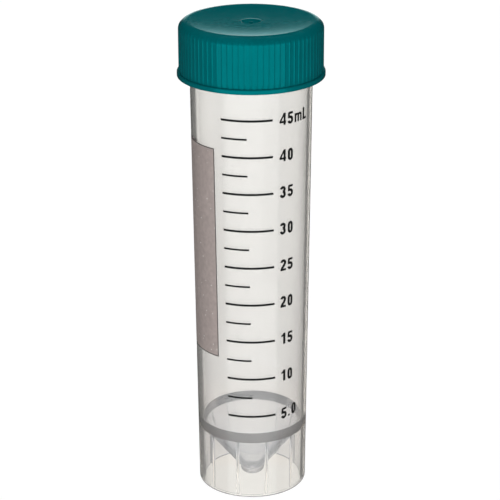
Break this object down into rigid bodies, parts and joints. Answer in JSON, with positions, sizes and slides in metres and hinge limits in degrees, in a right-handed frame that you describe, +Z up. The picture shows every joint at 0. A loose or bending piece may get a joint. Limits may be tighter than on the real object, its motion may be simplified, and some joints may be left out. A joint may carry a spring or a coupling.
{
  "type": "50 ml conical tube",
  "caption": "Clear self-standing lab tube with a conical bottom inside a skirt, a printed volume scale, a writing patch and a ribbed teal screw cap.",
  "frame": {"origin": "centre of the ring that the skirt stands on, on the tube's axis", "axes": "+Z up along the tube's axis towards the cap; the printed scale faces -Y and its numbers lie towards +X"},
  "size_m": [0.0354, 0.0354, 0.1194],
  "materials": {
    "clear_polypropylene": "clear moulded polypropylene, very slightly hazy, glossy",
    "teal_polypropylene": "dyed translucent moulded polypropylene, satin",
    "scale_ink": "black screen-printed ink",
    "writing_patch_ink": "grey screen-printed writing ink, matt"
  },
  "bodies": {
    "tube": {"tube": "clear_polypropylene"},
    "cap": {"cap": "teal_polypropylene"}
  },
  "joints": [
    {"name": "cap_lift", "type": "slide", "parent": "tube", "child": "cap", "axis": [0, 0, 1], "range_m": [0, 0.03]}
  ]
}
